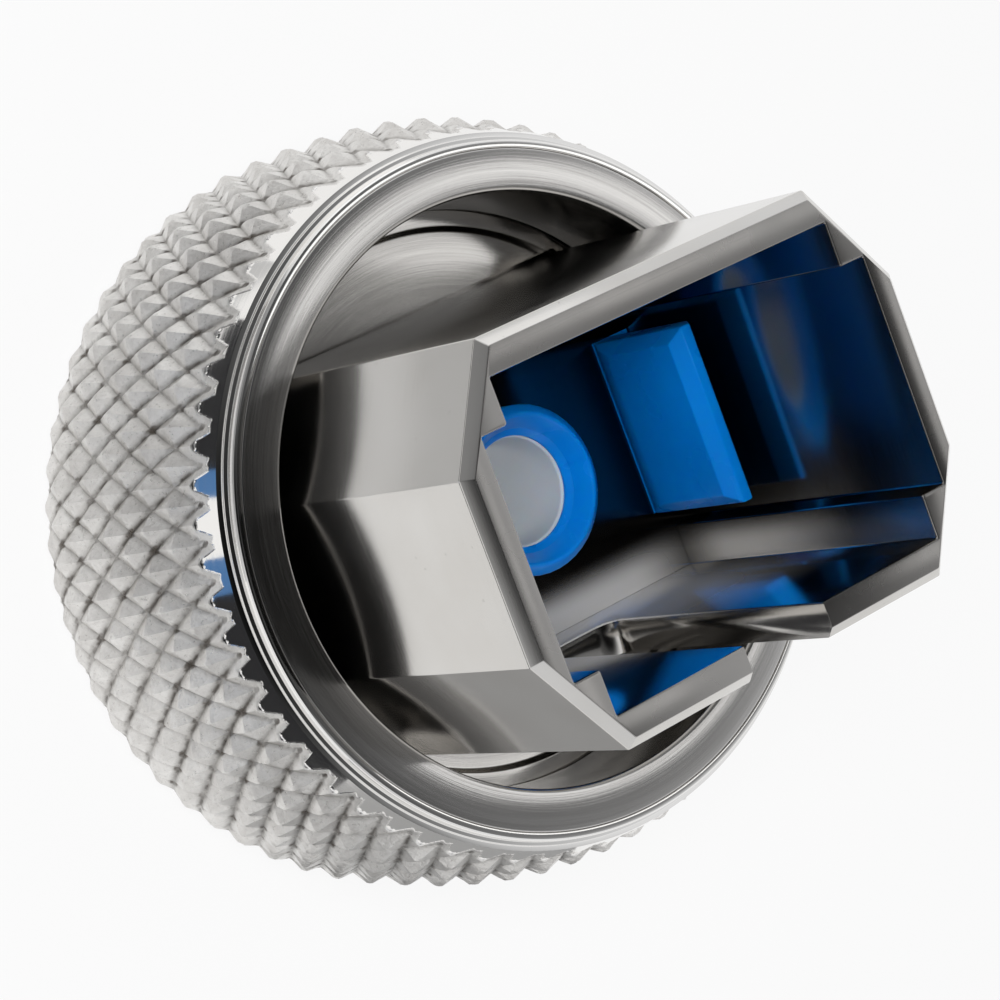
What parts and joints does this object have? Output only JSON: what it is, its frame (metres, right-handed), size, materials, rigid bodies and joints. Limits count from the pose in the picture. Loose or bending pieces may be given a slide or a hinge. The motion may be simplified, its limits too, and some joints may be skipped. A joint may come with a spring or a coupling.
{
  "type": "screw-on fibre optic adapter with a square push-pull receptacle",
  "caption": "Metal fibre optic adapter: knurled screw-on nut, square plug receptacle, blue latch insert and ceramic alignment sleeve.",
  "frame": {"origin": "on the common axis, in the plane of the coupling nut's rear face", "axes": "+Z along the common axis out of the plug's mouth, +X along the mouth's long side, the key slot is on the -Y side"},
  "size_m": [0.0184, 0.0184, 0.0148],
  "materials": {
    "knurled_nickel": "matte nickel plate over diamond knurling",
    "turned_nickel": "satin with fine turning marks",
    "polished_nickel": "polished nickel plate",
    "blue_plastic": "glossy moulded",
    "white_ceramic": "ground and polished"
  },
  "bodies": {
    "receptacle": {"adapter_body": "polished_nickel", "receptacle_shell": "polished_nickel", "latch_insert": "blue_plastic", "sleeve_retainer": "turned_nickel", "split_sleeve": "white_ceramic"},
    "nut": {"coupling_nut": "knurled_nickel", "bezel_ring": "turned_nickel"}
  },
  "joints": [
    {"name": "nut_turn", "type": "hinge", "parent": "receptacle", "child": "nut", "pos_m": [0, 0, 0], "axis": [0, 0, 1], "continuous": true}
  ]
}
